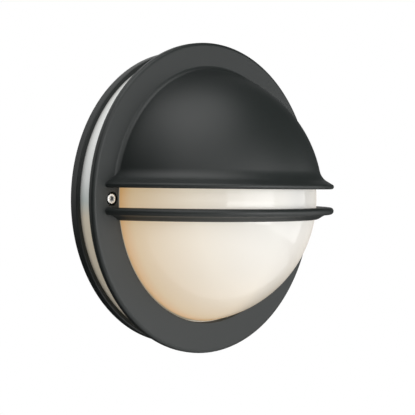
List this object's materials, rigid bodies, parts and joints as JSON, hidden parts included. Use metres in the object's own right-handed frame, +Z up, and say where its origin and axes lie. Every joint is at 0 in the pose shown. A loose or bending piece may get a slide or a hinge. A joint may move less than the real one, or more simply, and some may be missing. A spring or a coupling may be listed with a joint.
{
  "type": "wall light",
  "caption": "Round outdoor wall light: opal dome under a flared half hood and a curved bar, cast cover ring screwed to a wall base, lampholder and terminals inside.",
  "frame": {"origin": "centre of the light on the wall plane", "axes": "+Y into the wall, +Z up, +X to the right seen from in front"},
  "size_m": [0.27, 0.1343, 0.27],
  "materials": {
    "powder_black": "fine-textured satin black powder coat on cast aluminium",
    "opal": "satin opal polycarbonate",
    "seal_rubber": "soft grey-black silicone",
    "stainless": "stainless steel, as turned",
    "zinc_steel": "bright zinc plate",
    "brass": "plain brass",
    "porcelain": "glazed white porcelain",
    "block_plastic": "white polyamide",
    "enamel_white": "white enamelled steel sheet",
    "lamp_opal": "white opal lamp"
  },
  "bodies": {
    "root": {"wall_base": "powder_black", "base_gasket": "seal_rubber", "diffuser": "opal", "front_cover": "powder_black", "cover_screws": "stainless", "screw_seals": "seal_rubber", "fixing_seals": "seal_rubber", "cable_grommet": "seal_rubber", "terminal_block": "block_plastic", "terminal_sleeves": "brass", "terminal_clamps": "zinc_steel", "terminal_screw": "zinc_steel", "earth_washer": "brass", "earth_screw": "brass", "reflector": "enamel_white", "lead_bush": "seal_rubber", "reflector_screws": "zinc_steel", "holder_bracket": "zinc_steel", "bracket_screws": "zinc_steel", "lampholder_body": "porcelain", "lampholder_shell": "brass", "lampholder_contact": "brass", "lampholder_terminals": "brass", "holder_screws": "zinc_steel", "lamp_bulb": "lamp_opal"}
  },
  "joints": []
}
